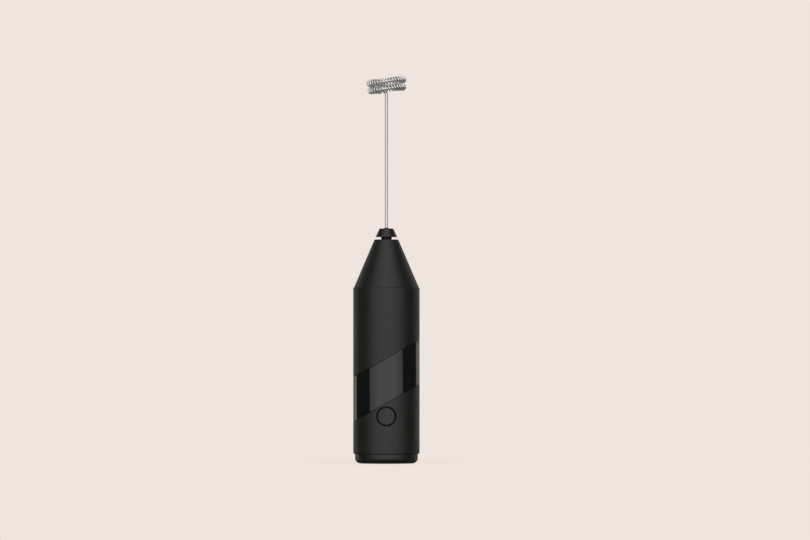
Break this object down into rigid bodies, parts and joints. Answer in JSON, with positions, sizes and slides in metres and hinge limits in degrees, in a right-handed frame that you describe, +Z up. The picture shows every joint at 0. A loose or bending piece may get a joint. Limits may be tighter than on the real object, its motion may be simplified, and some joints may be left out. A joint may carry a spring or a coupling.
{
  "type": "milk frother",
  "caption": "Battery hand frother standing on its base cap: round handle with a slanted gloss ring, conical nose, push button, thin steel stem and coiled spring whisk.",
  "frame": {"origin": "centre of the base cap's underside, on the surface it stands on", "axes": "+Z up along the handle and whisk stem, front with the push button towards -Y, +X to the right"},
  "size_m": [0.036, 0.036, 0.21],
  "materials": {
    "body_matte": "satin",
    "band_gloss": "gloss",
    "cap_matte": "satin",
    "collar_black": "satin",
    "gasket_black": "matte",
    "seal_rubber": "matte",
    "whisk_steel": "polished",
    "spring_steel": "satin",
    "motor_steel": "satin",
    "lamination_steel": "matte",
    "frame_plastic": "matte",
    "motor_plastic": "satin",
    "insulator_plastic": "matte",
    "bronze": "satin",
    "copper": "gloss",
    "contact_nickel": "gloss",
    "magnet": "matte",
    "capacitor_ceramic": "satin",
    "board_laminate": "satin",
    "cell_jacket": "gloss",
    "wire_red": "satin",
    "wire_black": "satin",
    "wire_white": "satin",
    "screw_steel": "satin"
  },
  "bodies": {
    "base": {"base_cap": "cap_matte", "cap_seal": "seal_rubber", "contact_disc": "insulator_plastic", "contact_bridge": "contact_nickel", "bridge_spring": "spring_steel"},
    "handle": {"lower_shell": "body_matte", "accent_band": "band_gloss", "upper_shell": "body_matte", "nose_cone": "body_matte", "nose_bush": "bronze", "inner_frame": "frame_plastic", "motor_cradle": "frame_plastic", "motor_damper": "seal_rubber", "motor_can": "motor_steel", "motor_end_bell": "motor_plastic", "motor_front_bearing": "bronze", "motor_rear_bearing": "bronze", "motor_magnets": "magnet", "motor_brushes": "copper", "motor_terminals": "contact_nickel", "noise_capacitor": "capacitor_ceramic", "capacitor_legs": "contact_nickel", "battery_left": "cell_jacket", "battery_right": "cell_jacket", "positive_contact": "contact_nickel", "negative_contact": "contact_nickel", "negative_spring": "spring_steel", "switch_board": "board_laminate", "switch_body": "insulator_plastic", "switch_spring": "spring_steel", "board_screws": "screw_steel", "button_gasket": "gasket_black", "lead_red": "wire_red", "lead_switch": "wire_white", "lead_black": "wire_black"},
    "rotor": {"motor_shaft": "motor_steel", "armature_core": "lamination_steel", "armature_windings": "copper", "commutator": "copper", "drive_coupling": "collar_black", "whisk_stem": "whisk_steel", "whisk_coil": "spring_steel"},
    "button": {"push_button": "body_matte", "switch_plunger": "insulator_plastic"}
  },
  "joints": [
    {"name": "whisk_spin", "type": "hinge", "parent": "handle", "child": "rotor", "pos_m": [0, 0, 0.121], "axis": [0, 0, 1], "continuous": true},
    {"name": "button_press", "type": "slide", "parent": "handle", "child": "button", "axis": [0, 1, 0], "range_m": [0, 0.0012], "stiffness_N_per_m": 500, "springref_m": -0.002, "deforming": ["switch_spring"]},
    {"name": "cap_pull", "type": "slide", "parent": "base", "child": "handle", "axis": [0, 0, 1], "range_m": [0, 0.036]}
  ]
}
